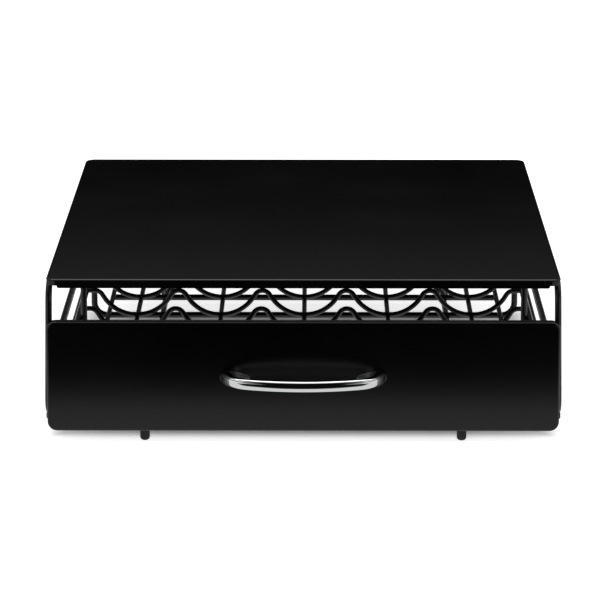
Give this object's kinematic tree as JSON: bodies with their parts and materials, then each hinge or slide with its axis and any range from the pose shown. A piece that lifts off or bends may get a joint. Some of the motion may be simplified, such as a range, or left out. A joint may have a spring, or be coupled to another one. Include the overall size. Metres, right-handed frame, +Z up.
{
  "type": "coffee pod drawer",
  "caption": "Low under-brewer drawer unit: a black plate on a wire frame over a sliding wire basket with scalloped pod cradles, a pressed front and a bow handle.",
  "frame": {"origin": "middle of the footprint on the floor, with the drawer shut and its handle counted", "axes": "+X to the right seen from the front, +Y to the back (the drawer pulls out along -Y), +Z up"},
  "size_m": [0.2912, 0.3553, 0.094],
  "materials": {
    "plate_coat": "semi-gloss black powder coat",
    "front_coat": "semi-gloss black powder coat",
    "wire_coat": "semi-gloss black powder coat on steel wire",
    "handle_chrome": "polished",
    "fasteners": "zinc plated",
    "foot_rubber": "matt black"
  },
  "bodies": {
    "frame": {"top_plate": "plate_coat", "side_loop_left": "wire_coat", "side_loop_right": "wire_coat", "plate_brace_front": "wire_coat", "plate_brace_back": "wire_coat", "cross_wire_front": "wire_coat", "cross_wire_stop": "wire_coat", "cross_wire_back": "wire_coat", "runner_left": "wire_coat", "runner_right": "wire_coat", "foot_cap_front_left": "foot_rubber", "foot_cap_front_right": "foot_rubber", "foot_cap_back_left": "foot_rubber", "foot_cap_back_right": "foot_rubber"},
    "drawer": {"drawer_front": "front_coat", "handle": "handle_chrome", "handle_screws": "fasteners", "handle_washers": "fasteners", "basket_rim": "wire_coat", "basket_mid_rail": "wire_coat", "basket_hoops": "wire_coat", "floor_wires": "wire_coat", "column_wires": "wire_coat", "cradle_wires": "wire_coat", "guide_hook_left": "wire_coat", "guide_hook_right": "wire_coat"}
  },
  "joints": [
    {"name": "drawer_slide", "type": "slide", "parent": "frame", "child": "drawer", "axis": [0, -1, 0], "range_m": [0, 0.22]}
  ]
}
